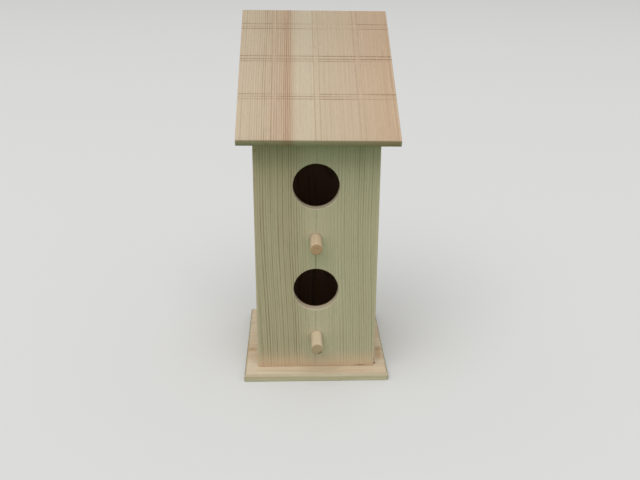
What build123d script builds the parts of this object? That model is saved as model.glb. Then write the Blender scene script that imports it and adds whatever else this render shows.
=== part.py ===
# Two-storey birdhouse in bare pine: a tall square box on a rounded plate, a floor between the storeys,
# a round entrance with a dowel perch on each storey, and one sloping board scored like shingles as the roof.
# Sizes are in millimetres. The origin is the middle of the base plate's underside, +Z is up,
# and the entrances face -Y.
import math
import os

from build123d import *

# Base plate
base_width = 124.4
base_depth = 127.0
base_thickness = 7.4
base_round = 3.0
base_corner_round = 1.2

# Walls
body_width = 101.6
body_depth = 101.6
front_height = 216.0
front_thickness = 8.0
back_thickness = 8.0
side_thickness = 8.0
wall_ease = 0.6

# Floor between the storeys, its underside measured from the base plate
storey_floor_height = 97.0
storey_floor_thickness = 6.0

# Entrances and perches, lower storey first, their heights measured from the base plate
entrance_diameter = 38.1
entrance_ease = 0.5
entrance_heights = (73.9, 164.7)
entrance_shift = -0.4
perch_diameter = 10.0
perch_length = 31.5
perch_ease = 0.7
perch_heights = (30.0, 119.9)
perch_shifts = (0.2, -0.7)

# Roof board, its overhang measured along its underside from the front wall's outer top edge.
# Its ends and the lines across it are a little out of square to its sides, by the skew in degrees.
roof_pitch = 30.0
roof_width = 125.8
roof_length = 162.7
roof_thickness = 6.0
roof_overhang = 25.0
roof_shift = 0.6
roof_ease = 0.8
roof_skew = 0.75

# Scored lines on the roof board: bands of lines across it and shallower bands of lines up its slope
score_width = 0.9
cross_score_depth = 0.5
cross_bands = (49.4, 96.0, 139.1)
cross_lines = 3
cross_pitch = 3.35
slope_score_depth = 0.35
slope_bands = (-34.1, 0.2, 34.3)
slope_lines = 2
slope_pitch = 4.2

# Brads, flat T-headed ones, and how they are spaced
brad_length = 25.0
brad_width = 1.25
brad_gauge = 1.0
brad_head_width = 2.0
brad_head_height = 0.8
brad_point = 2.0
base_brads_apart = 56.0
back_brads_up_each_side = 4
back_brads_margin = 26.0
floor_brads_apart_back = 30.0
floor_brads_apart_side = 40.0

# Places worked out from the sizes
base_top = base_thickness
front_face = -body_depth / 2
back_face = body_depth / 2
side_face = body_width / 2
room_front = front_face + front_thickness
room_back = back_face - back_thickness
room_side = side_face - side_thickness
floor_middle = base_top + storey_floor_height + storey_floor_thickness / 2
slope = math.radians(roof_pitch)


def under_roof(y):
    # height of the roof board's underside above the ground at depth y
    return base_top + front_height + (y - front_face) * math.tan(slope)


def base_plate():
    # square plate, its upper edge rounded over on all sides and its corners just taken off
    plate = Box(base_width, base_depth, base_thickness, align=(Align.CENTER, Align.CENTER, Align.MIN))
    plate = fillet(plate.faces().sort_by(Axis.Z)[-1].edges(), base_round)
    corners = Rectangle(base_width, base_depth)
    corners = fillet(corners.vertices(), base_corner_round)
    return plate & extrude(corners, amount=base_thickness)


def wall_board(x_low, x_high, y_low, y_high):
    # upright board from the base plate to the roof, its top edge cut to the roof's slope
    outline = Polygon(
        (y_low, base_top),
        (y_high, base_top),
        (y_high, under_roof(y_high)),
        (y_low, under_roof(y_low)),
        align=None,
    )
    return extrude(Plane.YZ.offset(x_low) * outline, amount=x_high - x_low)


def bore_through_front(diameter, x, height):
    # round bar that runs through the front wall, to be cut from it
    middle = front_face + front_thickness / 2
    bar = Cylinder(diameter / 2, 2 * front_thickness, rotation=(90, 0, 0))
    return Pos(x, middle, base_top + height) * bar


def front_wall():
    # full-width board with the two entrances and the two perch bores
    board = wall_board(-side_face, side_face, front_face, room_front)
    outer_uprights = board.edges().filter_by(Axis.Z).group_by(Axis.Y)[0]
    board = chamfer(outer_uprights, wall_ease)
    for height in entrance_heights:
        board -= bore_through_front(entrance_diameter, entrance_shift, height)
    rims = board.edges().filter_by(GeomType.CIRCLE).group_by(Axis.Y)[0]
    board = chamfer(rims, entrance_ease)
    for height, shift in zip(perch_heights, perch_shifts):
        board -= bore_through_front(perch_diameter, shift, height)
    return board


def back_wall():
    # full-width board behind the side walls, taller because the roof rises to the back
    board = wall_board(-side_face, side_face, room_back, back_face)
    outer_uprights = board.edges().filter_by(Axis.Z).group_by(Axis.Y)[-1]
    return chamfer(outer_uprights, wall_ease)


def side_wall(hand):
    # board between the front and back walls: hand is -1 on the left and 1 on the right
    x_low, x_high = sorted((hand * room_side, hand * side_face))
    return wall_board(x_low, x_high, room_front, room_back)


def storey_floor():
    # board that fills the box from wall to wall between the storeys
    middle = (room_front + room_back) / 2
    board = Box(2 * room_side, room_back - room_front, storey_floor_thickness)
    return Pos(0, middle, floor_middle) * board


def perch(height, shift):
    # dowel flush with the front wall's inner face, its free end just eased
    dowel = Cylinder(perch_diameter / 2, perch_length, align=(Align.CENTER, Align.CENTER, Align.MIN))
    dowel = chamfer(dowel.faces().sort_by(Axis.Z)[-1].edges(), perch_ease)
    seat = Plane(origin=(shift, room_front, base_top + height), x_dir=(1, 0, 0), z_dir=(0, -1, 0))
    return seat * dowel


def score_places(bands, lines, pitch):
    # places of the single lines in evenly spaced bands
    return [band + (line - (lines - 1) / 2) * pitch for band in bands for line in range(lines)]


def score_cutter(length, depth):
    # V-shaped bar along Y, its middle level with the board's upper face
    outline = Polygon((0, -depth), (score_width, depth), (-score_width, depth), align=None)
    return extrude(Plane.XZ * outline, amount=length / 2, both=True)


def roof_board():
    # board modelled flat with the middle of its upper front edge at the origin, scored, then laid on the walls
    half = roof_width / 2
    lag = half * math.tan(math.radians(roof_skew))
    outline = Polygon(
        (-half, lag),
        (half, -lag),
        (half, roof_length - lag),
        (-half, roof_length + lag),
        align=None,
    )
    board = extrude(outline, amount=-roof_thickness)
    board = fillet(board.faces().sort_by(Axis.Z)[-1].edges(), roof_ease)
    across = Rot(0, 0, 90 - roof_skew) * score_cutter(2 * roof_width, cross_score_depth)
    for up in score_places(cross_bands, cross_lines, cross_pitch):
        board -= Pos(0, up, 0) * across
    along = score_cutter(2 * roof_length, slope_score_depth)
    for side in score_places(slope_bands, slope_lines, slope_pitch):
        board -= Pos(side, roof_length / 2, 0) * along
    seat = Plane(
        origin=(roof_shift, front_face, base_top + front_height),
        x_dir=(1, 0, 0),
        z_dir=(0, -math.sin(slope), math.cos(slope)),
    )
    return seat * Pos(0, -roof_overhang, roof_thickness) * board


def brad(head_at, outward, along):
    # flat brad driven in against outward, its head flush at head_at and widest in the direction along
    neck = -brad_head_height
    shoulder = brad_point - brad_length
    outline = Polygon(
        (brad_head_width / 2, 0),
        (-brad_head_width / 2, 0),
        (-brad_head_width / 2, neck),
        (-brad_width / 2, neck),
        (-brad_width / 2, shoulder),
        (0, -brad_length),
        (brad_width / 2, shoulder),
        (brad_width / 2, neck),
        (brad_head_width / 2, neck),
        align=None,
    )
    lie = Plane(origin=head_at, x_dir=along, z_dir=Vector(*along).cross(Vector(*outward)))
    return extrude(lie * outline, amount=brad_gauge / 2, both=True)


def base_brads():
    # two brads up through the plate into the middle of each wall's lower edge
    reach = base_brads_apart / 2
    front_line = front_face + front_thickness / 2
    back_line = back_face - back_thickness / 2
    side_line = side_face - side_thickness / 2
    down = (0, 0, -1)
    brads = [brad((x, y, 0), down, (1, 0, 0)) for x in (-reach, reach) for y in (front_line, back_line)]
    brads += [brad((x, y, 0), down, (0, 1, 0)) for x in (-side_line, side_line) for y in (-reach, reach)]
    return brads


def back_brads():
    # brads through the back wall: a row up each side wall and a pair into the storey floor
    side_line = side_face - side_thickness / 2
    lowest = base_top + back_brads_margin
    step = (under_roof(back_face) - back_brads_margin - lowest) / (back_brads_up_each_side - 1)
    out = (0, 1, 0)
    brads = []
    for x in (-side_line, side_line):
        for i in range(back_brads_up_each_side):
            brads.append(brad((x, back_face, lowest + i * step), out, (0, 0, 1)))
    for x in (-floor_brads_apart_back / 2, floor_brads_apart_back / 2):
        brads.append(brad((x, back_face, floor_middle), out, (1, 0, 0)))
    return brads


def side_brads():
    # two brads through each side wall into the storey floor
    reach = floor_brads_apart_side / 2
    brads = []
    for hand in (-1, 1):
        for y in (-reach, reach):
            brads.append(brad((hand * side_face, y, floor_middle), (hand, 0, 0), (0, 1, 0)))
    return brads


def bored(board, brads):
    # the board with a close hole for every brad that reaches it
    for pin in brads:
        board -= pin
    return board


def pieces():
    # every piece by its name
    up_from_base = base_brads()
    in_from_back = back_brads()
    in_from_sides = side_brads()
    side_pins = up_from_base + in_from_back + in_from_sides
    return {
        "base_plate": bored(base_plate(), up_from_base),
        "front_wall": bored(front_wall(), up_from_base),
        "back_wall": bored(back_wall(), up_from_base + in_from_back),
        "left_wall": bored(side_wall(-1), side_pins),
        "right_wall": bored(side_wall(1), side_pins),
        "storey_floor": bored(storey_floor(), in_from_back + in_from_sides),
        "roof_board": roof_board(),
        "lower_perch": perch(perch_heights[0], perch_shifts[0]),
        "upper_perch": perch(perch_heights[1], perch_shifts[1]),
        "base_brads": Compound(children=up_from_base),
        "back_brads": Compound(children=in_from_back),
        "side_brads": Compound(children=in_from_sides),
    }


os.makedirs("parts", exist_ok=True)
for name, shape in pieces().items():
    export_step(shape, "parts/" + name + ".step")
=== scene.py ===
import math

import bmesh
import bpy
from mathutils import Euler, Matrix, Vector, noise


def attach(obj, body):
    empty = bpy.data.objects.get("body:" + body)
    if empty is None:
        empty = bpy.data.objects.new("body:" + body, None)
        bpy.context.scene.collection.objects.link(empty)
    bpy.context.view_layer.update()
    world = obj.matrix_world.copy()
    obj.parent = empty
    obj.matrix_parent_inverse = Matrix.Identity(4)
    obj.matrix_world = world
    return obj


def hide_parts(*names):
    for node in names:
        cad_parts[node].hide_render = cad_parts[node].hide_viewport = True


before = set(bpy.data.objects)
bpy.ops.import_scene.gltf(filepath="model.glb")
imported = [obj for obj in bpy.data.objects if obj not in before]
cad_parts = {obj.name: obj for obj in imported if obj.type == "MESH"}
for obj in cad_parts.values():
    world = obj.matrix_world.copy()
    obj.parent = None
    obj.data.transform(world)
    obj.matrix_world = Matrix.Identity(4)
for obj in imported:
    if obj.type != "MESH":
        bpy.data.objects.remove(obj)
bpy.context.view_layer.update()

mm = 0.001             # sizes and places are in millimetres, angles in degrees
straight = 0.8         # an edge runs a way when at least this share of its length does
smoothAngle = 35       # edges sharper than this stay sharp


# Modelling

def makeActive(piece):
    if bpy.context.mode != "OBJECT":
        bpy.ops.object.mode_set(mode="OBJECT")
    bpy.ops.object.select_all(action="DESELECT")
    if piece:
        piece.select_set(True)
    bpy.context.view_layer.objects.active = piece


def applyPlace():
    bpy.ops.object.transform_apply(location=True, rotation=True, scale=True)


def addBlock(name, low, high):
    # a block between two corners, in millimetres
    low, high = Vector(low) * mm, Vector(high) * mm
    makeActive(None)
    bpy.ops.mesh.primitive_cube_add(size=1.0, location=(low + high) / 2)
    block = bpy.context.active_object
    block.name = block.data.name = name
    block.scale = high - low
    applyPlace()
    return block


def addBar(name, radius, start, length, sides):
    # a round bar along +Y from its start, in millimetres
    makeActive(None)
    middle = Vector(start) + Vector((0, length / 2, 0))
    bpy.ops.mesh.primitive_cylinder_add(vertices=sides, radius=radius * mm, depth=length * mm,
                                        location=middle * mm, rotation=(math.radians(90), 0, 0))
    bar = bpy.context.active_object
    bar.name = bar.data.name = name
    applyPlace()
    return bar


def pick(piece, kind, test):
    # edit mode with only the points, edges or faces that pass the test selected
    makeActive(piece)
    bpy.ops.object.mode_set(mode="EDIT")
    bpy.ops.mesh.select_mode(type=kind)
    bpy.ops.mesh.select_all(action="DESELECT")
    mesh = bmesh.from_edit_mesh(piece.data)
    for part in {"VERT": mesh.verts, "EDGE": mesh.edges, "FACE": mesh.faces}[kind]:
        if test(part):
            part.select_set(True)
    mesh.select_flush_mode()
    bmesh.update_edit_mesh(piece.data)


def done():
    bpy.ops.object.mode_set(mode="OBJECT")


def runs(edge, way):
    reach = edge.verts[1].co - edge.verts[0].co
    return abs(reach.dot(way)) > straight * reach.length


def middleOf(edge):
    return (edge.verts[0].co + edge.verts[1].co) / 2 / mm


def easeEdges(piece, test, size, segments):
    pick(piece, "EDGE", test)
    bpy.ops.mesh.bevel(offset=size * mm, segments=segments, affect="EDGES", clamp_overlap=False)
    done()


def saw(piece, point, normal, drop=False):
    # a straight cut all through, and what lies beyond it dropped if asked
    pick(piece, "VERT", lambda part: True)
    bpy.ops.mesh.bisect(plane_co=Vector(point) * mm, plane_no=Vector(normal).normalized(),
                        use_fill=drop, clear_outer=drop)
    done()


def cutInto(piece, way, step):
    # divides the edges that run this way into lengths of about step, the longest ones first
    way, step = Vector(way), step * mm
    while True:
        points = piece.data.vertices
        reaches = [points[edge.vertices[1]].co - points[edge.vertices[0]].co for edge in piece.data.edges]
        longest = max(reach.length for reach in reaches if abs(reach.dot(way)) > straight * reach.length)
        if longest < 1.4 * step:
            break
        pick(piece, "EDGE", lambda edge: runs(edge, way) and edge.calc_length() > 0.8 * longest)
        cuts = min(max(round(longest / step) - 1, 1), 90)     # the operator takes no more than 100
        bpy.ops.mesh.subdivide(number_cuts=cuts)
        done()


def sink(piece, weigh, depth, direction="NORMAL"):
    # lowers the surface by up to depth, by the weight that each point is given
    group = piece.vertex_groups.new(name="sunk")
    for point in piece.data.vertices:
        weight = weigh(point.co / mm, point.normal)
        if weight > 0.0:
            group.add([point.index], min(weight, 1.0), "REPLACE")
    makeActive(piece)
    change = piece.modifiers.new("sunk", "DISPLACE")
    change.vertex_group = "sunk"
    change.direction = direction
    change.mid_level = 0.0
    change.strength = -depth * mm
    bpy.ops.object.modifier_apply(modifier="sunk")
    piece.vertex_groups.clear()


def cutOut(piece, cutter):
    # takes the cutter's shape out of the piece
    makeActive(piece)
    change = piece.modifiers.new("cut", "BOOLEAN")
    change.operation = "DIFFERENCE"
    change.solver = "EXACT"
    change.object = cutter
    bpy.ops.object.modifier_apply(modifier="cut")
    makeActive(None)
    bpy.data.objects.remove(cutter)


def splitFaces(piece, test):
    # makes triangles of the faces that the test picks
    pick(piece, "FACE", test)
    bpy.ops.mesh.quads_convert_to_tris(quad_method="BEAUTY", ngon_method="BEAUTY")
    done()


def finishPiece(piece, material, node):
    # shading, material and place in the part, once the faces with many corners are split
    splitFaces(piece, lambda face: len(face.verts) > 4)
    makeActive(piece)
    bpy.ops.object.shade_smooth_by_angle(angle=math.radians(smoothAngle))
    piece.data.materials.clear()
    piece.data.materials.append(material)
    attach(piece, "root")
    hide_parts(node)
    print(piece.name, "done,", len(piece.data.polygons), "faces")


# Shader nodes

def feed(tree, socket, value):
    # a socket takes either a link or a plain value
    if isinstance(value, bpy.types.NodeSocket):
        tree.links.new(value, socket)
    elif value is not None:
        socket.default_value = value


def maths(tree, operation, a, b=None, c=None):
    node = tree.nodes.new("ShaderNodeMath")
    node.operation = operation
    for socket, value in zip(node.inputs, (a, b, c)):
        feed(tree, socket, value)
    return node.outputs[0]


def wave(tree, value, sway, start, base):
    # base plus a sine of the value: sway is how fast it turns and how far it reaches
    turn = maths(tree, "SINE", maths(tree, "MULTIPLY_ADD", value, sway[0], start))
    return maths(tree, "MULTIPLY_ADD", turn, sway[1], base)


def waveAt(value, sway, start):
    # the same sine for one number
    return sway[1] * math.sin(sway[0] * value + start)


def distance(tree, a, b):
    return maths(tree, "SQRT", maths(tree, "MULTIPLY_ADD", a, a, maths(tree, "MULTIPLY", b, b)))


def span(tree, value, low, high, newLow=0.0, newHigh=1.0, smooth=True):
    # value from low..high to newLow..newHigh, clamped
    node = tree.nodes.new("ShaderNodeMapRange")
    node.interpolation_type = "SMOOTHSTEP" if smooth else "LINEAR"
    for name, given in (("Value", value), ("From Min", low), ("From Max", high),
                        ("To Min", newLow), ("To Max", newHigh)):
        feed(tree, node.inputs[name], given)
    return node.outputs["Result"]


def blendColours(tree, share, a, b, way="MIX"):
    node = tree.nodes.new("ShaderNodeMix")
    node.data_type = "RGBA"
    node.blend_type = way
    feed(tree, node.inputs[0], share)
    feed(tree, node.inputs[6], a)
    feed(tree, node.inputs[7], b)
    return node.outputs[2]


def scaleColour(tree, tone, value):
    return blendColours(tree, 1.0, tone, vector(tree, value, value, value), "MULTIPLY")


def vector(tree, x, y, z):
    node = tree.nodes.new("ShaderNodeCombineXYZ")
    for socket, value in zip(node.inputs, (x, y, z)):
        feed(tree, socket, value)
    return node.outputs[0]


def partsOf(tree, socket):
    node = tree.nodes.new("ShaderNodeSeparateXYZ")
    tree.links.new(socket, node.inputs[0])
    return list(node.outputs)


def grain(tree, places, scales, seed, detail=2.0, rough=0.5):
    # noise with its own scale across, along and out of the board
    spot = [maths(tree, "MULTIPLY_ADD", place, scale, seed) for place, scale in zip(places, scales)]
    node = tree.nodes.new("ShaderNodeTexNoise")
    feed(tree, node.inputs["Vector"], vector(tree, *spot))
    node.inputs["Scale"].default_value = 1.0
    node.inputs["Detail"].default_value = detail
    node.inputs["Roughness"].default_value = rough
    return node.outputs["Fac"]


def curve(tree, value, points):
    # straight runs through (place, height) points, each height from 0 to 1
    low, high = points[0][0], points[-1][0]
    node = tree.nodes.new("ShaderNodeFloatCurve")
    line = node.mapping.curves[0]
    run = [((place - low) / (high - low), height) for place, height in points]
    line.points[0].location = run[0]
    line.points[1].location = run[-1]
    for place, height in run[1:-1]:
        line.points.new(place, height)
    for point in line.points:
        point.handle_type = "VECTOR"
    node.mapping.update()
    feed(tree, node.inputs["Value"], span(tree, value, low, high, smooth=False))
    return node.outputs["Value"]


def onCurve(points, place):
    # the same runs for one number
    for (a, low), (b, high) in zip(points, points[1:]):
        if place <= b:
            return low + (high - low) * max(0.0, (place - a) / (b - a))
    return points[-1][1]


def colour(hexText):
    # a colour as picked on screen, made linear
    parts = [int(hexText[i:i + 2], 16) / 255 for i in (0, 2, 4)]
    return (*[p / 12.92 if p <= 0.04045 else ((p + 0.055) / 1.055) ** 2.4 for p in parts], 1.0)


def newMaterial(name):
    material = bpy.data.materials.new(name)
    material.use_nodes = True
    tree = material.node_tree
    return material, tree, tree.nodes["Principled BSDF"]


# Growth rings, worked out alike for the colours and for the relief

sways = {
    # how fast each slow bend of the rings turns, and how far it reaches
    "lines": (0.043, 0.25),
    "side": (0.021, 2.2),
    "sideAgain": (0.057, 0.8),
    "deep": (0.031, 1.5),
    "width": (0.41, 1.3),
    "widthAgain": (0.93, 0.35),
}
laterStart = 2.1       # the second bend to the side starts at this many times the board's seed
lineEnd = 0.16         # share of a ring in which the dark line of late wood ends
pastLines = 0.3        # strength of the rings beyond the first and the last drawn line
evenStrength = 0.7     # strength of the rings' relief on a board without drawn lines
relief = {"high": 0.15, "low": 0.75, "rubbed": 0.5, "rubFine": 0.13}


def ringCurves(board):
    # ring number and strength along the board's width, from its list of lines
    lines = board["lines"]
    count = len(lines) + 1
    low, high = board["reach"]
    numbers = [(low, 0.0)] + [(lines[i][0], (i + 1) / count) for i in range(len(lines))] + [(high, 1.0)]
    strengths = [(low, pastLines)] + lines + [(high, pastLines)]
    return numbers, strengths, count


def ringNodes(tree, board, across, along, out):
    seed = board["seed"]
    if "lines" in board:
        side = wave(tree, along, sways["lines"], seed, across)
        side = maths(tree, "MULTIPLY_ADD", out, board["lean"], side)
        side = maths(tree, "MULTIPLY_ADD", curve(tree, along, board["drift"]), -board["driftBy"], side)
        numbers, strengths, count = ringCurves(board)
        ring = maths(tree, "MULTIPLY", curve(tree, side, numbers), float(count))
        return ring, curve(tree, side, strengths)
    side = wave(tree, along, sways["side"], seed, maths(tree, "SUBTRACT", across, board["pithSide"]))
    side = wave(tree, along, sways["sideAgain"], laterStart * seed, side)
    deep = maths(tree, "MULTIPLY_ADD", along, board["pithSlant"], board["pithDepth"])
    deep = wave(tree, along, sways["deep"], seed, maths(tree, "SUBTRACT", deep, out))
    far = distance(tree, side, deep)
    uneven = wave(tree, far, sways["width"], seed, far)
    uneven = wave(tree, far, sways["widthAgain"], seed, uneven)
    ring = maths(tree, "DIVIDE", uneven, board["ringWidth"])
    chance = tree.nodes.new("ShaderNodeTexWhiteNoise")
    chance.noise_dimensions = "1D"
    feed(tree, chance.inputs["W"], maths(tree, "ROUND", ring))
    return ring, span(tree, chance.outputs["Value"], 0.0, 1.0, 0.3, 1.0, smooth=False)


def ringAt(board, across, along, out):
    seed = board["seed"]
    if "lines" in board:
        side = across + waveAt(along, sways["lines"], seed) + board["lean"] * out
        side -= board["driftBy"] * onCurve(board["drift"], along)
        numbers, strengths, count = ringCurves(board)
        return onCurve(numbers, side) * count, onCurve(strengths, side)
    side = across - board["pithSide"] + waveAt(along, sways["side"], seed)
    side += waveAt(along, sways["sideAgain"], laterStart * seed)
    deep = board["pithDepth"] + board["pithSlant"] * along - out + waveAt(along, sways["deep"], seed)
    far = math.hypot(side, deep)
    uneven = far + waveAt(far, sways["width"], seed)
    uneven += waveAt(uneven, sways["widthAgain"], seed)
    return uneven / board["ringWidth"], evenStrength


def lateAt(board, ring):
    # late wood builds up slowly to each line and ends sharply
    part = ring % 1.0
    build = max(0.0, (part - 1.0 + board["lateShare"]) / board["lateShare"])
    return max(build ** 2 * (3 - 2 * build), 1.0 - min(part / lineEnd, 1.0))


def layOf(board):
    # how the board's own directions lie in the part's
    return Euler([math.radians(angle) for angle in board["turn"]])


def reliefOf(board):
    # early wood lies a little lower than late wood, and arrises are rubbed unevenly
    lay = layOf(board).to_matrix().inverted()
    corner = Vector(board["corner"])
    ownNoise = Vector((board["seed"], 0, 0))

    def weigh(place, normal):
        across, along, out = lay @ (place - corner)
        ring, strength = ringAt(board, across, along, out)
        early = 1.0 - strength * lateAt(board, ring)
        level = relief["high"] + (relief["low"] - relief["high"]) * early
        rubbed = min(3.0 * (1.0 - max(abs(part) for part in normal)), 1.0)
        uneven = 0.5 + noise.noise(place * relief["rubFine"] + ownNoise)
        return level + relief["rubbed"] * rubbed * uneven
    return weigh


# Wood

finish = {
    # how fine each grain is across, along and out of the board
    "fade": (3.7, 0.021, 0.0),
    "fibre": (3.1, 0.05, 3.1),
    "coarse": (0.9, 0.008, 0.9),
    "band": (0.1, 0.005, 0.1),
    "fleck": (1.3, 0.14, 1.3),
    "streak": (1.5, 0.12, 1.5),
    "pores": (2.6, 0.2, 2.6),
    "rub": (0.25, 0.25, 0.25),
    # how much each darkens and lightens the wood
    "lineFade": (0.55, 1.15),
    "fibreTone": (0.94, 1.05),
    "coarseTone": (0.92, 1.07),
    "fleckTone": (0.955, 1.045),
    "poreTone": (0.72, 0.98),
    "streakShare": 0.3,
    "endTone": colour("d2d3b1"),
    # roughness of early and late wood, and the fine relief
    "rough": (0.74, 0.6),
    "bump": 0.35,
    "bumpHeight": 0.2,
}


def woodMaterial(name, board):
    material, tree, shader = newMaterial(name)
    where = tree.nodes.new("ShaderNodeTexCoord")
    lay = tree.nodes.new("ShaderNodeMapping")          # metres to millimetres in the board's own directions
    lay.vector_type = "TEXTURE"
    lay.inputs["Location"].default_value = Vector(board["corner"]) * mm
    lay.inputs["Rotation"].default_value = layOf(board)
    lay.inputs["Scale"].default_value = (mm, mm, mm)
    tree.links.new(where.outputs["Object"], lay.inputs["Vector"])
    places = across, along, out = partsOf(tree, lay.outputs[0])
    seed = board["seed"]

    # faces that cut across the grain
    facing = tree.nodes.new("ShaderNodeVectorMath")
    facing.operation = "DOT_PRODUCT"
    tree.links.new(where.outputs["Normal"], facing.inputs[0])
    facing.inputs[1].default_value = layOf(board).to_matrix() @ Vector((0, 1, 0))
    endGrain = span(tree, maths(tree, "ABSOLUTE", facing.outputs["Value"]), 0.6, 0.85)

    ring, strength = ringNodes(tree, board, across, along, out)
    part = maths(tree, "FRACT", ring)
    build = span(tree, part, 1.0 - board["lateShare"], 1.0)
    fall = span(tree, part, 0.0, lineEnd, 1.0, 0.0)
    line = maths(tree, "MAXIMUM", build, fall)
    lineAt = [maths(tree, "ROUND", ring), along, out]
    fade = grain(tree, lineAt, finish["fade"], seed)
    line = maths(tree, "MULTIPLY", line, span(tree, fade, 0.25, 0.75, *finish["lineFade"]))
    line = maths(tree, "MULTIPLY", line, strength)

    fibre = grain(tree, places, finish["fibre"], seed, 3.0, 0.6)
    coarse = grain(tree, places, finish["coarse"], seed + 4.0, 3.0, 0.6)
    band = grain(tree, places, finish["band"], seed + 9.0, 3.0, 0.55)
    warmth = span(tree, band, 0.3, 0.7)
    if "tints" in board:
        # how warm the colour is from one side of the board to the other
        drawn = curve(tree, across, board["tints"])
        warmth = maths(tree, "ADD", drawn, maths(tree, "MULTIPLY_ADD", band, 0.5, -0.25))
    tint = blendColours(tree, warmth, board["pale"], board["warm"])
    tone = blendColours(tree, maths(tree, "MULTIPLY", line, board["lateAmount"]), tint, board["late"])
    tone = scaleColour(tree, tone, span(tree, fibre, 0.25, 0.75, *finish["fibreTone"], smooth=False))
    tone = scaleColour(tree, tone, span(tree, coarse, 0.25, 0.75, *finish["coarseTone"], smooth=False))

    # short flecks and resin streaks, and end grain with its pores
    fleck = grain(tree, places, finish["fleck"], seed + 5.0)
    tone = scaleColour(tree, tone, span(tree, fleck, 0.3, 0.7, *finish["fleckTone"], smooth=False))
    streak = span(tree, grain(tree, places, finish["streak"], seed + 2.0, 1.0), 0.69, 0.77)
    tone = blendColours(tree, maths(tree, "MULTIPLY", streak, finish["streakShare"]), tone, board["late"])
    pores = span(tree, grain(tree, places, finish["pores"], seed + 3.0), 0.35, 0.65, *finish["poreTone"])
    endTone = board.get("endTone", finish["endTone"])
    duller = blendColours(tree, 1.0, scaleColour(tree, tone, pores), endTone, "MULTIPLY")
    tone = blendColours(tree, maths(tree, "MULTIPLY", endGrain, board.get("endShare", 1.0)), tone, duller)

    if "face" in board:
        # pale arrises round the face: worn wood, and a painted highlight along the edges
        left, right, low, high = board["face"]
        near = maths(tree, "SUBTRACT", across, left)
        near = maths(tree, "MINIMUM", near, maths(tree, "SUBTRACT", right, across))
        near = maths(tree, "MINIMUM", near, maths(tree, "SUBTRACT", along, low))
        near = maths(tree, "MINIMUM", near, maths(tree, "SUBTRACT", high, along))
        rub = grain(tree, places, finish["rub"], seed + 6.0, 3.0)
        near = maths(tree, "MULTIPLY_ADD", rub, -2.0, near)
        wornAndHighlight = span(tree, near, -0.6, 0.9, 1.0, 0.0)
        tone = blendColours(tree, maths(tree, "MULTIPLY", wornAndHighlight, board["wornAndHighlightShare"]), tone, board["wornAndHighlight"])

    for mark in board.get("marks", []):
        tone = mark(tree, tone, places)

    feed(tree, shader.inputs["Base Color"], tone)
    rough = span(tree, line, 0.0, 1.0, *finish["rough"], smooth=False)
    feed(tree, shader.inputs["Roughness"], maths(tree, "MULTIPLY_ADD", fibre, 0.1, rough))
    height = maths(tree, "MULTIPLY_ADD", line, 0.4, maths(tree, "MULTIPLY", fibre, 0.6))
    bump = tree.nodes.new("ShaderNodeBump")
    bump.inputs["Strength"].default_value = finish["bump"]
    bump.inputs["Distance"].default_value = finish["bumpHeight"] * mm
    tree.links.new(height, bump.inputs["Height"])
    tree.links.new(bump.outputs["Normal"], shader.inputs["Normal"])
    return material


def spotMark(place, size, tone, amount, deepest=-1.0):
    # an uneven round patch of colour on the face
    def mark(tree, under, places):
        across, along, out = places
        edge = grain(tree, places, (0.5, 0.5, 0.5), place[0])
        side = maths(tree, "DIVIDE", maths(tree, "SUBTRACT", across, place[0]), size[0])
        up = maths(tree, "DIVIDE", maths(tree, "SUBTRACT", along, place[1]), size[1])
        far = maths(tree, "MULTIPLY_ADD", edge, 0.9, distance(tree, side, up))
        share = maths(tree, "MULTIPLY", span(tree, far, 0.7, 1.45, 1.0, 0.0), amount)
        share = maths(tree, "MULTIPLY", share, span(tree, out, deepest - 0.3, deepest))
        return blendColours(tree, share, under, tone)
    return mark


def insideDullShadeMark(tree, under, places):
    # the face inside the box is duller and redder than the sanded outside: rougher wood, and painted shade
    # for the dark inside of the box
    share = span(tree, places[2], 0.5 - wall["thick"], 0.9 - wall["thick"], 1.0, 0.0)
    return blendColours(tree, share, under, wall["insideDullShade"], "MULTIPLY")


def steelMaterial(name):
    material, tree, shader = newMaterial(name)
    where = tree.nodes.new("ShaderNodeTexCoord")
    places = partsOf(tree, where.outputs["Object"])    # in metres
    spots = grain(tree, places, (900.0, 900.0, 900.0), 0.0, 3.0)
    feed(tree, shader.inputs["Base Color"], blendColours(tree, spots, colour("8a857c"), colour("b5b2a9")))
    shader.inputs["Metallic"].default_value = 1.0
    feed(tree, shader.inputs["Roughness"], span(tree, spots, 0.2, 0.8, 0.3, 0.55))
    return material


# Front wall, with its two entrances and two perch bores

# pale arris colour: worn wood, and a painted highlight
wornPaleAndHighlight = colour("d9c3a6")
wall = {
    "half": 50.8,
    "thick": 8.0,
    "foot": 7.4,
    "frontHeight": 216.0,
    "blankTop": 305.0,       # how high the boards are before their tops are sawn
    "pitch": 30.0,
    "ease": 0.6,
    "sideEase": 0.25,
    "footEase": 0.35,
    # how finely the boards are divided for the relief of the grain
    "frontAcross": 0.55,
    "across": 0.8,
    "along": 4.5,
    "through": 2.5,
    "relief": 0.09,
    # the inside colour is rougher wood, and painted shade for the dark inside of the box
    "insideDullShade": colour("c8aca6"),
}
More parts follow.
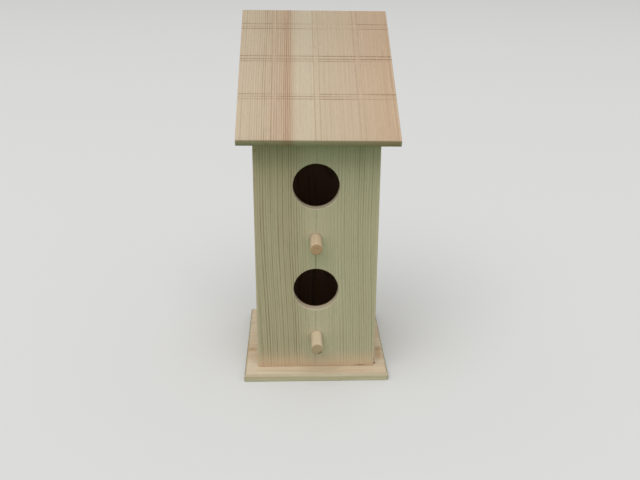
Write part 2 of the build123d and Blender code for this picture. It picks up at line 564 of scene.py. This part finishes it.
# the bores' pale colour is fresh sawn wood, and painted light on the bore and its rim
entrance = {"radius": 19.05, "rim": 0.5, "lead": 1.5, "side": -0.4, "heights": (81.3, 172.1), "sides": 96,
            "ragged": 0.12, "raggedFine": 0.35, "freshAndLit": colour("d4c2ac")}
perch = {"radius": 5.0, "length": 31.5, "ease": 0.8, "sides": 48, "gap": 0.12, "rim": 0.15, "lead": 1.0,
         "insets": 3, "inset": 1.0, "along": 1.4, "relief": 0.14, "reliefFine": 0.22,
         "places": {"lower_perch": (0.2, 37.4), "upper_perch": (-0.7, 127.3)}}
pencil = {
    "side": -0.5,
    "tone": colour("4d3c2a"),
    # how strongly it is drawn, from the foot up
    "drawn": [(0, 0.3), (12, 0.45), (20, 0.32), (36, 0.25), (60, 0.3), (92, 0.6), (96, 0.95), (113, 1.0),
              (118, 0.6), (126, 0.45), (145, 0.55), (184, 0.4), (216, 0.3)],
}
slope = math.radians(wall["pitch"])
downSlope = Vector((0.0, -math.cos(slope), -math.sin(slope)))
offSlope = Vector((0.0, -math.sin(slope), math.cos(slope)))
frontTop = Vector((0.0, -wall["half"], wall["foot"] + wall["frontHeight"]))


def pencilMark(tree, under, places):
    # the line the maker drew down the middle, clearest between the lower entrance and the upper perch
    across, along, out = places
    side = maths(tree, "SUBTRACT", wave(tree, along, (0.02, 0.2), 1.0, across), pencil["side"])
    share = span(tree, maths(tree, "ABSOLUTE", side), 0.12, 0.42, 1.0, 0.0)
    share = maths(tree, "MULTIPLY", share, span(tree, out, -0.4, -0.2))
    share = maths(tree, "MULTIPLY", share, curve(tree, along, pencil["drawn"]))
    broken = grain(tree, places, (0.4, 0.35, 0.4), 3.0, 3.0)
    share = maths(tree, "MULTIPLY", share, span(tree, broken, 0.3, 0.55, 0.5, 1.0))
    return blendColours(tree, share, under, pencil["tone"])


def footGlowMark(tree, under, places):
    # painted warm light bounced up from the plate: the lowest few millimetres are warmer and paler
    share = span(tree, places[1], 0.0, 19.0, 0.52, 0.0)
    share = maths(tree, "MULTIPLY", share, span(tree, places[2], -0.6, -0.3))
    return blendColours(tree, share, under, colour("d8b497"))


def boreFreshAndLitMark(tree, under, places):
    # pale colour where the two entrances are sawn through the board: fresh sawn wood, and painted light on
    # the bore and its rim
    across, along, out = places
    side = maths(tree, "SUBTRACT", across, entrance["side"])
    for height in entrance["heights"]:
        far = distance(tree, side, maths(tree, "SUBTRACT", along, height - wall["foot"]))
        share = span(tree, far, entrance["radius"] + 0.2, entrance["radius"] + 0.5, 0.5, 0.0)
        under = blendColours(tree, share, under, entrance["freshAndLit"])
    return under


frontBoard = {
    "corner": (0.0, -wall["half"], wall["foot"]),
    "turn": (90, 0, 0),
    "reach": (-56.0, 56.0),
    "seed": 2.0,
    "lean": 0.35,
    "drift": [(0, 1.0), (40, 0.68), (80, 0.3), (104, 0.13), (140, 0.02), (216, 0.0)],
    "driftBy": 4.4,
    "lateShare": 0.55,
    "lateAmount": 0.95,
    # the pale and warm colours are the pine's, made a little greener than the other walls' by painted green
    # light bounced up from below
    "pale": colour("c1b89b"),
    "warm": colour("b6a586"),
    "late": colour("7a603f"),
    "wornAndHighlight": wornPaleAndHighlight,
    "wornAndHighlightShare": 0.3,
    "face": (-50.8, 50.8, 0.0, 230.0),
    "tints": [(-56, 0.65), (-40, 0.65), (-20, 0.6), (-12, 0.35), (0, 0.15), (20, 0.15), (56, 0.25)],
    "endShare": 0.3,
    "lines": [(-49.4, 0.35), (-47.4, 0.3), (-45.4, 0.8), (-43.0, 0.75), (-40.7, 0.45), (-38.9, 0.42),
              (-37.1, 0.8), (-35.5, 0.3), (-33.9, 0.45), (-31.1, 0.72), (-29.2, 0.3), (-27.3, 0.95),
              (-25.6, 0.3), (-24.2, 0.42), (-22.4, 0.78), (-20.4, 0.9), (-18.1, 0.65), (-15.8, 0.58),
              (-13.7, 0.38), (-11.7, 0.45), (-9.5, 0.25), (-6.0, 0.1), (-2.0, 0.06), (1.8, 0.05),
              (5.5, 0.07), (8.6, 0.15), (11.2, 0.26), (12.9, 0.24), (14.7, 0.3), (17.4, 0.32),
              (20.2, 0.45), (22.9, 0.4), (24.7, 0.25), (26.4, 0.48), (28.6, 0.4), (30.5, 0.46),
              (32.2, 0.28), (34.0, 0.82), (36.0, 0.3), (38.0, 0.62), (40.2, 0.28), (42.2, 0.36),
              (44.8, 0.52), (46.4, 0.28), (48.0, 0.34), (50.4, 0.2)],
    "marks": [
        footGlowMark,
        boreFreshAndLitMark,
        insideDullShadeMark,
        pencilMark,
        spotMark((50.6, 2.6), (0.9, 1.1), colour("4a3020"), 0.8),
        spotMark((50.2, 6.0), (1.0, 3.6), colour("8a6440"), 0.5),
        # painted shadow along the wall's foot, where it meets the plate
        spotMark((38.0, 0.6), (8.0, 0.7), colour("6b4a2c"), 0.6),
        spotMark((-48.5, 194.3), (1.2, 1.6), colour("a8663f"), 0.4),
    ],
}


def uprightBoard(name, low, high, outward, wood, ease, segments, across):
    # eased and divided while it is too tall, then its grain is pressed in and its top sawn to the slope
    up, outward = Vector((0, 0, 1)), Vector(outward)
    outer = wall["half"] - ease - 0.1
    lowest = wall["foot"] + 0.1
    board = addBlock(name, (*low, wall["foot"]), (*high, wall["blankTop"]))
    easeEdges(board, lambda edge: runs(edge, up) and middleOf(edge).dot(outward) > outer, ease, segments)
    easeEdges(board, lambda edge: middleOf(edge).z < lowest and middleOf(edge).dot(outward) > outer,
              wall["footEase"], 2)
    cutInto(board, outward.cross(up), across)
    cutInto(board, up, wall["along"])
    cutInto(board, outward, wall["through"])
    sink(board, reliefOf(wood), wall["relief"])
    saw(board, frontTop, offSlope, True)
    return board


def flaredCutter(side, height, radius, hole):
    # a bar through the front wall, wider at its start so that it breaks the hole's outer edge too
    face = -wall["half"]
    lead, rim = hole["lead"], hole["rim"]
    length = wall["thick"] + 2 * lead + 1.0
    bar = addBar("cutter", radius, (side, face - lead, height), length, hole["sides"])
    saw(bar, (0, face + rim, 0), (0, 1, 0))
    pick(bar, "VERT", lambda point: point.co.y / mm < face - lead + 0.1)
    grown = (radius + rim + lead) / radius
    bpy.ops.transform.resize(value=(grown, 1.0, grown), center_override=Vector((side, face, height)) * mm)
    done()
    return bar


def makeFrontWall():
    half, thick = wall["half"], wall["thick"]
    board = uprightBoard("frontWall", (-half, -half), (half, -half + thick), (0, -1, 0), frontBoard,
                         wall["ease"], 3, wall["frontAcross"])
    for height in entrance["heights"]:
        cutter = flaredCutter(entrance["side"], height, entrance["radius"], entrance)
        saw(cutter, (0, -half + thick / 2, 0), (0, 1, 0))
        # a little ragged, as the hole saw leaves it
        fine = entrance["raggedFine"]
        sink(cutter, lambda place, normal: 0.5 + noise.noise(place * fine), entrance["ragged"])
        cutOut(board, cutter)
    for side, height in perch["places"].values():
        cutOut(board, flaredCutter(side, height, perch["radius"] + perch["gap"], perch))
    finishPiece(board, woodMaterial("frontPine", frontBoard), "front_wall")


makeFrontWall()


# Perches

perchEnd = wall["thick"] - perch["length"]      # the free end, from the front wall's face


def dotMark(spots):
    # small dark pith spots on a dowel's end
    def mark(tree, under, places):
        across, along, out = places
        onEnd = span(tree, along, perchEnd + 0.7, perchEnd + 0.3)
        for side, up, size in spots:
            far = distance(tree, maths(tree, "SUBTRACT", across, side), maths(tree, "SUBTRACT", out, up))
            share = maths(tree, "MULTIPLY", span(tree, far, 0.3 * size, size, 0.75, 0.0), onEnd)
            under = blendColours(tree, share, under, colour("4e3422"))
        return under
    return mark


def endMark(tone, amount):
    # the dowel's end has a colour of its own
    def mark(tree, under, places):
        share = span(tree, places[1], perchEnd + 0.6, perchEnd + 0.2, 0.0, amount)
        return blendColours(tree, share, under, tone)
    return mark


def makePerch(name, node, seed, endTone, spots):
    side, height = perch["places"][node]
    lengthways = Vector((0, 1, 0))
    start = -wall["half"] + perchEnd
    dowel = addBar(name, perch["radius"], (side, start, height), perch["length"], perch["sides"])
    easeEdges(dowel, lambda edge: middleOf(edge).y < start + 0.01 and not runs(edge, lengthways),
              perch["ease"], 3)
    pick(dowel, "FACE", lambda face: face.normal.y < -0.99)
    for ring in range(perch["insets"]):
        bpy.ops.mesh.inset(thickness=perch["inset"] * mm)
    done()
    cutInto(dowel, lengthways, perch["along"])
    fine, ownNoise = perch["reliefFine"], Vector((seed, 0, 0))
    sink(dowel, lambda place, normal: 0.5 + 0.9 * noise.noise(place * fine + ownNoise), perch["relief"])
    wood = {
        "corner": (side, -wall["half"], height), "turn": (0, 0, 0), "seed": seed, "pithSide": 9.0,
        "pithDepth": 7.0, "pithSlant": 0.02, "ringWidth": 1.7, "lateShare": 0.6, "lateAmount": 0.35,
        "pale": colour("cfbfa3"), "warm": colour("c8af90"), "late": colour("9e7d5a"), "endShare": 0.5,
        "marks": [endMark(endTone, 0.75), dotMark(spots)],
    }
    finishPiece(dowel, woodMaterial(name + "Birch", wood), node)


makePerch("lowerPerch", "lower_perch", 3.0, colour("b3967a"), [(2.6, -2.8, 1.1), (1.2, -3.8, 0.9)])
makePerch("upperPerch", "upper_perch", 7.0, colour("b38966"), [(-0.9, 1.4, 0.6), (1.3, 0.9, 0.6)])


# Back and side walls, with slots round the brads' heads

pinePale = colour("c8b897")
pineWarm = colour("bda683")
pineLate = colour("886947")
brad = {"width": 2.5, "gauge": 1.5, "deep": 1.2, "line": 46.8, "margin": 26.0, "inRow": 4,
        "apartBack": 15.0, "apartSide": 20.0, "floorMiddle": 107.4, "reach": 28.0}
backBoard = {
    "corner": (0.0, wall["half"], wall["foot"]), "turn": (90, 0, 180), "seed": 11.0, "pithSide": -14.0,
    "pithDepth": 24.0, "pithSlant": -0.062, "ringWidth": 3.1, "lateShare": 0.6, "lateAmount": 0.7,
    "pale": pinePale, "warm": pineWarm, "late": pineLate, "wornAndHighlight": wornPaleAndHighlight, "wornAndHighlightShare": 0.3,
    "face": (-50.8, 50.8, 0.0, 275.0), "marks": [insideDullShadeMark],
}
leftBoard = {
    "corner": (-wall["half"], 0.0, wall["foot"]), "turn": (90, 0, -90), "seed": 17.0, "pithSide": 18.0,
    "pithDepth": 36.0, "pithSlant": -0.05, "ringWidth": 2.7, "lateShare": 0.55, "lateAmount": 0.7,
    "pale": pinePale, "warm": pineWarm, "late": pineLate, "marks": [insideDullShadeMark],
}
rightBoard = {
    "corner": (wall["half"], 0.0, wall["foot"]), "turn": (90, 0, 90), "seed": 23.0, "pithSide": 65.0,
    "pithDepth": 40.0, "pithSlant": 0.03, "ringWidth": 2.9, "lateShare": 0.55, "lateAmount": 0.7,
    "pale": pinePale, "warm": pineWarm, "late": pineLate, "marks": [insideDullShadeMark],
}


def cutSlot(board, place, wide, deep):
    # a slot for a brad's head, wide along one axis and cut in along another (0 is X, 1 is Y, 2 is Z)
    size = [brad["gauge"]] * 3
    size[wide] = brad["width"]
    size[deep] = 2 * brad["deep"]
    low = [middle - across / 2 for middle, across in zip(place, size)]
    high = [middle + across / 2 for middle, across in zip(place, size)]
    cutOut(board, addBlock("cutter", low, high))


def makeBackWall():
    half = wall["half"]
    board = uprightBoard("backWall", (-half, half - wall["thick"]), (half, half), (0, 1, 0), backBoard,
                         wall["ease"], 3, wall["across"])
    lowest = wall["foot"] + brad["margin"]
    highest = frontTop.z + 2 * half * math.tan(slope) - brad["margin"]
    for side in (-brad["line"], brad["line"]):
        for i in range(brad["inRow"]):
            height = lowest + i * (highest - lowest) / (brad["inRow"] - 1)
            cutSlot(board, (side, half, height), wide=2, deep=1)
    for side in (-brad["apartBack"], brad["apartBack"]):
        cutSlot(board, (side, half, brad["floorMiddle"]), wide=0, deep=1)
    finishPiece(board, woodMaterial("backPine", backBoard), "back_wall")


def makeSideWall(name, node, hand, wood):
    half, thick = wall["half"], wall["thick"]
    low, high = sorted((hand * half, hand * (half - thick)))
    board = uprightBoard(name, (low, -half + thick), (high, half - thick), (hand, 0, 0), wood,
                         wall["sideEase"], 2, wall["across"])
    for y in (-brad["apartSide"], brad["apartSide"]):
        cutSlot(board, (hand * half, y, brad["floorMiddle"]), wide=1, deep=0)
    finishPiece(board, woodMaterial(name + "Pine", wood), node)


makeBackWall()
makeSideWall("leftWall", "left_wall", -1, leftBoard)
makeSideWall("rightWall", "right_wall", 1, rightBoard)


# Roof board, modelled flat and then laid on the walls

roof = {
    "width": 125.8,
    "length": 162.7,
    "thick": 6.0,
    "ease": 0.8,
    "lowerEase": 0.3,
    "skew": 0.75,
    "overhang": 25.0,
    "shift": 0.6,
    "across": 0.6,
    "along": 3.5,
    "through": 2.5,
    "relief": 0.09,
    "scoreWidth": 0.9,
    "scoreDepth": 0.5,
    # painted shade in the scores
    "scoreShade": colour("805b3a"),
    "dullEnd": 0.87,
    # lines across: how far up the board, then how deep they are cut at a few places from left to right
    "crossLines": [
        (46.5, [(-63, 0.4), (-20, 0.55), (5, 0.75), (12, 0.85), (30, 0.55), (45, 0.42), (63, 0.35)]),
        (49.4, [(-63, 0.35), (-40, 0.55), (5, 0.7), (15, 0.5), (30, 0.3), (45, 0.1), (63, 0.3)]),
        (52.2, [(-63, 0.7), (-35, 0.5), (-22, 0.3), (-8, 0.15), (5, 0.8), (20, 0.5), (40, 0.7), (63, 1.0)]),
        (92.7, [(-63, 0.65), (-10, 0.5), (10, 0.7), (30, 0.55), (45, 0.35), (63, 0.15)]),
        (95.5, [(-63, 0.8), (-15, 0.55), (10, 0.8), (30, 0.75), (45, 1.0), (63, 1.0)]),
        (99.3, [(-63, 0.85), (-30, 0.6), (0, 0.8), (30, 0.85), (63, 1.0)]),
        (135.9, [(-63, 0.75), (-15, 0.6), (5, 0.45), (15, 0.1), (30, 0.2), (40, 0.5), (63, 0.6)]),
        (138.8, [(-63, 0.35), (-20, 0.2), (10, 0.15), (20, 0.0), (45, 0.2), (63, 0.1)]),
        (142.5, [(-63, 0.65), (-15, 0.45), (5, 0.25), (15, 0.05), (28, 0.2), (40, 0.8), (63, 0.5)]),
    ],
    # lines up the slope: how far to the side, then the depth from the front to the back
    "slopeLines": [
        (-36.1, [(0, 0.5), (60, 0.4), (163, 0.3)]),
        (-32.1, [(0, 0.36), (163, 0.25)]),
        (-2.1, [(0, 0.39), (163, 0.33)]),
        (2.1, [(0, 0.3), (163, 0.26)]),
        (32.4, [(0, 0.27), (60, 0.35), (100, 0.33), (163, 0.27)]),
        (36.3, [(0, 0.24), (163, 0.3)]),
    ],
    # where the lines cross they are shallower, and the wood between them stays pale
    "rows": (49.4, 95.9, 139.1),
    "rowReach": 4.2,
    "columns": (-34.1, 0.0, 34.3),
    "columnReach": 1.7,
    "shallower": 0.38,
}
skewRise = math.tan(math.radians(roof["skew"]))


def scores(across, up, along):
    # every score with the coordinate that it is at, and the one that it runs along
    return [(at, depths, up, across) for at, depths in roof["crossLines"]] + \
        [(at, depths, across, along) for at, depths in roof["slopeLines"]]


def scoreDepth(place):
    # how deep a score is at this place on the flat board, as a share of the full depth
    up = place.y + place.x * skewRise
    deepest = 0.0
    for at, depths, here, run in scores(place.x, up, place.y):
        off = abs(here - at) / (roof["scoreWidth"] / 2)
        if off < 1.05:
            ragged = 0.8 + 0.6 * noise.noise(Vector((run * 0.5, at, 0.0)))
            deepest = max(deepest, max(0.0, 1.0 - off * 0.85) * onCurve(depths, run) * ragged)
    inRow = any(abs(up - middle) < roof["rowReach"] for middle in roof["rows"])
    inColumn = any(abs(place.x - middle) < roof["columnReach"] for middle in roof["columns"])
    return deepest * (1.0 - roof["shallower"]) if inRow and inColumn else deepest


def upBoard(tree, across, along):
    # how far up the board a place is, counted square to the lines across it
    return maths(tree, "MULTIPLY_ADD", across, skewRise, along)


def withinBands(tree, value, middles, reach):
    share = 0.0
    for middle in middles:
        off = maths(tree, "ABSOLUTE", maths(tree, "SUBTRACT", value, middle))
        share = maths(tree, "MAXIMUM", share, span(tree, off, reach - 0.5, reach + 0.5, 1.0, 0.0))
    return share


def scoreShadeMark(tree, under, places):
    # painted shade in the scores: they are a little darker than the face
    across, along, out = places
    up = upBoard(tree, across, along)
    share = 0.0
    for at, depths, here, run in scores(across, up, along):
        off = maths(tree, "ABSOLUTE", maths(tree, "SUBTRACT", here, at))
        seen = maths(tree, "MULTIPLY", span(tree, off, 0.15, 0.65, 1.0, 0.0), curve(tree, run, depths))
        share = maths(tree, "MAXIMUM", share, seen)
    share = maths(tree, "MULTIPLY", share, span(tree, out, -1.2, -0.9))
    broken = grain(tree, places, (0.5, 0.5, 0.5), 8.0, 3.0)
    share = maths(tree, "MULTIPLY", share, span(tree, broken, 0.3, 0.6, 0.6, 1.0))
    inRow = withinBands(tree, up, roof["rows"], roof["rowReach"])
    inColumn = withinBands(tree, across, roof["columns"], roof["columnReach"])
    crossing = maths(tree, "MULTIPLY", inRow, inColumn)
    share = maths(tree, "MULTIPLY", share, maths(tree, "MULTIPLY_ADD", crossing, -roof["shallower"], 1.0))
    under = scaleColour(tree, under, maths(tree, "MULTIPLY_ADD", crossing, 0.04, 1.0))
    tone = blendColours(tree, share, under, roof["scoreShade"])
    # the board grows duller towards its upper end
    return scaleColour(tree, tone, span(tree, along, 45.0, 165.0, 1.0, roof["dullEnd"]))


def noseShadeMark(tree, under, places):
    # painted shade on the rounded front edge, a little darker than the face
    across, along, out = places
    up = upBoard(tree, across, along)
    share = maths(tree, "MULTIPLY", span(tree, up, 1.1, 0.4), span(tree, out, -1.3, -0.6))
    return blendColours(tree, share, under, colour("efeeea"), "MULTIPLY")


roofCorner = frontTop + Vector((roof["shift"], 0.0, 0.0))
roofCorner += roof["overhang"] * downSlope + roof["thick"] * offSlope
roofBoard = {
    "corner": roofCorner,
    "turn": (wall["pitch"], 0, 0),
    "reach": (-70.0, 70.0),
    "seed": 5.0,
    "lean": 0.5,
    "drift": [(0, 1.0), (163, 0.0)],
    "driftBy": -0.8,
    "lateShare": 0.42,
    "lateAmount": 0.9,
    "pale": colour("bbad95"),
    "warm": colour("b4987c"),
    "late": colour("6d482d"),
    "wornAndHighlight": colour("cdb49a"),
    "endTone": colour("fffcf4"),
    "wornAndHighlightShare": 0.55,
    "face": (-62.9, 62.9, -4.0, 167.0),
    "lines": [(-60.9, 0.14), (-58.3, 0.37), (-56.1, 0.16), (-53.7, 0.16), (-51.5, 0.28), (-49.7, 0.16),
              (-48, 0.28), (-46, 0.46), (-44.4, 0.24), (-42.5, 0.74), (-40.7, 0.78), (-38.9, 0.42),
              (-37.1, 0.32), (-34.9, 0.28), (-33.1, 0.6), (-30.9, 0.3), (-29.1, 0.6), (-27.3, 0.4),
              (-25.6, 0.85), (-23.9, 1), (-22.4, 1), (-20.7, 0.8), (-19.1, 0.42), (-17.4, 0.18),
              (-15.6, 0.07), (-12.4, 0.04), (-8.7, 0.02), (-4.7, 0.02), (0.2, 0.04), (4.6, 0.06),
              (7.2, 0.12), (10.6, 0.12), (13.6, 0.06), (16, 0.07), (18.6, 0.17), (20.5, 0.13), (24.2, 0.11),
              (27, 0.08), (29.2, 0.1), (31.8, 0.06), (34.8, 0.06), (38.8, 0.07), (41.1, 0.04),
              (43.8, 0.04), (46.4, 0.04), (48.8, 0.04), (52.2, 0.05), (55.3, 0.03), (58.2, 0.05),
              (61.2, 0.22), (63.2, 0.1)],
    "tints": [(-70, 0.2), (-60, 0.2), (-50, 0.25), (-42, 0.38), (-36, 0.48), (-29, 0.58), (-26.5, 0.82),
              (-22, 0.88), (-20.5, 0.55), (-18, 0.3), (-14, 0.08), (-5, 0.05), (0, 0.25), (15, 0.4),
              (30, 0.5), (50, 0.8), (70, 0.92)],
    "marks": [scoreShadeMark, noseShadeMark],
}


def makeRoof():
    half, length, thick = roof["width"] / 2, roof["length"], roof["thick"]
    board = addBlock("roofBoard", (-half, 0, -thick), (half, length, 0))
    for hand in (-1, 1):
        pick(board, "VERT", lambda point: point.co.x * hand > 0)
        bpy.ops.transform.translate(value=(0, -hand * half * skewRise * mm, 0))
        done()
    easeEdges(board, lambda edge: middleOf(edge).z > -0.1, roof["ease"], 3)
    easeEdges(board, lambda edge: middleOf(edge).z < -thick + 0.1, roof["lowerEase"], 2)
    # three cuts along each score give it a bottom and two edges
    cuts = (-roof["scoreWidth"] / 2, 0.0, roof["scoreWidth"] / 2)
    for at, depths in roof["crossLines"]:
        for off in cuts:
            saw(board, (0, at + off, 0), (skewRise, 1, 0))
    for at, depths in roof["slopeLines"]:
        for off in cuts:
            saw(board, (at + off, 0, 0), (1, 0, 0))
    cutInto(board, (1, 0, 0), roof["across"])
    cutInto(board, (0, 1, 0), roof["along"])
    cutInto(board, (0, 0, 1), roof["through"])
    sink(board, reliefOf(dict(roofBoard, corner=(0, 0, 0), turn=(0, 0, 0))), roof["relief"])
    sink(board, lambda place, normal: scoreDepth(place) if place.z > -1.0 else 0.0, roof["scoreDepth"], "Z")
    board.rotation_euler = (slope, 0, 0)
    board.location = roofCorner * mm
    makeActive(board)
    applyPlace()
    finishPiece(board, woodMaterial("roofPine", roofBoard), "roof_board")


makeRoof()


# Base plate

plate = {"width": 124.4, "depth": 127.0, "thick": 7.4, "round": 3.0, "corner": 1.2, "lowerEase": 0.3,
         "across": 0.9, "along": 5.0, "relief": 0.08}


def edgeShadeMark(tree, under, places):
    # painted shade on the rounded edge: the rounding is a little darker than the flat top, and the upright
    # below it a little duller
    out = places[2]
    onRound = maths(tree, "MULTIPLY", span(tree, out, 0.0, -0.5), span(tree, out, -2.3, -1.1))
    under = blendColours(tree, onRound, under, colour("eaeae8"), "MULTIPLY")
    return blendColours(tree, span(tree, out, -2.2, -3.6), under, colour("f8fcf8"), "MULTIPLY")


plateBoard = {
    "corner": (0.0, 0.0, plate["thick"]), "turn": (0, 0, 90), "seed": 31.0, "pithSide": 90.0,
    "pithDepth": 60.0, "pithSlant": 0.04, "ringWidth": 3.6, "lateShare": 0.6, "lateAmount": 0.3,
    "pale": colour("cdbfa5"), "warm": colour("c4ae91"), "late": colour("9c7a58"),
    "marks": [
        edgeShadeMark,
        spotMark((-19.8, 57.8), (4.2, 7.5), colour("9c7c50"), 0.5, -4.0),
        spotMark((-21.0, -57.4), (7.0, 4.6), colour("9a7848"), 0.5, -4.0),
        spotMark((-30.0, -56.0), (15.0, 4.4), colour("a08050"), 0.45, -4.0),
        spotMark((-46.4, -51.6), (1.9, 1.1), colour("55402a"), 0.85, -4.0),
    ],
}


def makePlate():
    side, end, thick = plate["width"] / 2, plate["depth"] / 2, plate["thick"]
    board = addBlock("basePlate", (-side, -end, 0), (side, end, thick))
    easeEdges(board, lambda edge: middleOf(edge).z > thick - 0.1, plate["round"], 6)
    easeEdges(board, lambda edge: abs(middleOf(edge).x) > side - 0.01 and abs(middleOf(edge).y) > end - 0.01,
              plate["corner"], 3)
    easeEdges(board, lambda edge: middleOf(edge).z < 0.01, plate["lowerEase"], 1)
    cutInto(board, (0, 1, 0), plate["across"])
    cutInto(board, (1, 0, 0), plate["along"])
    sink(board, reliefOf(plateBoard), plate["relief"])
    splitFaces(board, lambda face: face.normal.z < -0.5)     # a bent face can't be cut cleanly
    for x in (-brad["reach"], brad["reach"]):
        for y in (-brad["line"], brad["line"]):
            cutSlot(board, (x, y, 0), wide=0, deep=2)
    for x in (-brad["line"], brad["line"]):
        for y in (-brad["reach"], brad["reach"]):
            cutSlot(board, (x, y, 0), wide=1, deep=2)
    finishPiece(board, woodMaterial("platePine", plateBoard), "base_plate")


makePlate()


# Storey floor and brads keep their CAD shapes

# the storey floor inside the box is much darker than the other pine: rougher wood, and painted shade for the
# dark inside of the box
shadedFloorBoard = {
    "corner": (0.0, 0.0, 110.4), "turn": (0, 0, 90), "seed": 29.0, "pithSide": 10.0, "pithDepth": 30.0,
    "pithSlant": 0.05, "ringWidth": 3.0, "lateShare": 0.55, "lateAmount": 0.6,
    "pale": colour("8d7a5d"), "warm": colour("836a4b"), "late": colour("63482b"),
}
bradSteel = steelMaterial("bradSteel")
for node, material in (("storey_floor", woodMaterial("floorPineShaded", shadedFloorBoard)), ("base_brads", bradSteel),
                       ("back_brads", bradSteel), ("side_brads", bradSteel)):
    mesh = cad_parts[node].data
    mesh.materials.clear()
    mesh.materials.append(material)
print("floor and brads done")


# Floor, light and camera

studio = {
    "floorColour": (0.64, 0.64, 0.63, 1.0),
    "skyColour": (0.72, 0.72, 0.71, 1.0),
    "floorBounce": (0.11, 0.24, 0.10, 1.0),
    "skyEven": 0.284,
    "skyRing": 0.507,
    # in metres, watts and degrees
    "floorSize": 12.0,
    "lampPower": 1025.0,
    "lampSize": 12.5,
    "lampAim": 0.12,
    "lampAway": 12.0,
    "lampHeight": 65.0,
    "lampSide": -0.12,
}
view = {
    "place": (-0.017302, -0.645036, 0.362898),     # in metres
    "lens": 43.85,
    "turn": -1.938,
    "dip": 21.698,
    "roll": 0.310,
}


def showPale(tree, shown, elsewhere):
    # a pale colour to the camera and in reflections, and another one for the light that bounces
    path = tree.nodes.new("ShaderNodeLightPath")
    seen = maths(tree, "MAXIMUM", path.outputs["Is Camera Ray"], path.outputs["Is Glossy Ray"])
    seen = maths(tree, "MAXIMUM", seen, path.outputs["Is Transmission Ray"])
    return blendColours(tree, seen, elsewhere, shown)


def makeFloor():
    makeActive(None)
    bpy.ops.mesh.primitive_plane_add(size=studio["floorSize"], location=(0, 0, 0))
    floor = bpy.context.active_object
    floor.name = "floor"
    material, tree, shader = newMaterial("paleFloor")
    feed(tree, shader.inputs["Base Color"], showPale(tree, studio["floorColour"], studio["floorBounce"]))
    shader.inputs["Roughness"].default_value = 0.9
    shader.inputs["Specular IOR Level"].default_value = 0.1
    floor.data.materials.append(material)


def makeWorld():
    world = bpy.data.worlds.new("softSky")
    bpy.context.scene.world = world
    world.use_nodes = True
    tree = world.node_tree
    sky = tree.nodes["Background"]
    where = tree.nodes.new("ShaderNodeTexCoord")
    height = partsOf(tree, where.outputs["Generated"])[2]
    # brightest all round the horizon
    level = maths(tree, "SQRT", maths(tree, "SUBTRACT", 1.0, maths(tree, "MULTIPLY", height, height)))
    glow = maths(tree, "MULTIPLY_ADD", level, studio["skyRing"], studio["skyEven"])
    feed(tree, sky.inputs["Color"], showPale(tree, studio["skyColour"], vector(tree, glow, glow, glow)))
    sky.inputs["Strength"].default_value = 1.0


def makeLamp():
    lampData = bpy.data.lights.new("softLamp", "AREA")
    lampData.shape = "DISK"
    lampData.size = studio["lampSize"]
    lampData.energy = studio["lampPower"]
    lamp = bpy.data.objects.new("softLamp", lampData)
    height = math.radians(studio["lampHeight"])
    away = Vector((studio["lampSide"], -math.cos(height), math.sin(height))).normalized()
    lamp.location = Vector((0, 0, studio["lampAim"])) + away * studio["lampAway"]
    lamp.rotation_euler = away.to_track_quat("Z", "Y").to_euler()
    bpy.context.scene.collection.objects.link(lamp)


def makeCamera():
    cameraData = bpy.data.cameras.new("camera")
    cameraData.sensor_fit = "HORIZONTAL"
    cameraData.sensor_width = 36.0
    cameraData.lens = view["lens"]
    camera = bpy.data.objects.new("camera", cameraData)
    turn = Matrix.Rotation(math.radians(view["turn"]), 4, "Z")
    dip = Matrix.Rotation(math.radians(90 - view["dip"]), 4, "X")
    roll = Matrix.Rotation(math.radians(view["roll"]), 4, "Z")
    camera.matrix_world = Matrix.Translation(view["place"]) @ turn @ dip @ roll
    bpy.context.scene.collection.objects.link(camera)
    bpy.context.scene.camera = camera


makeFloor()
makeWorld()
makeLamp()
makeCamera()
bpy.context.scene.view_settings.view_transform = "Standard"
print("floor, light and camera done")
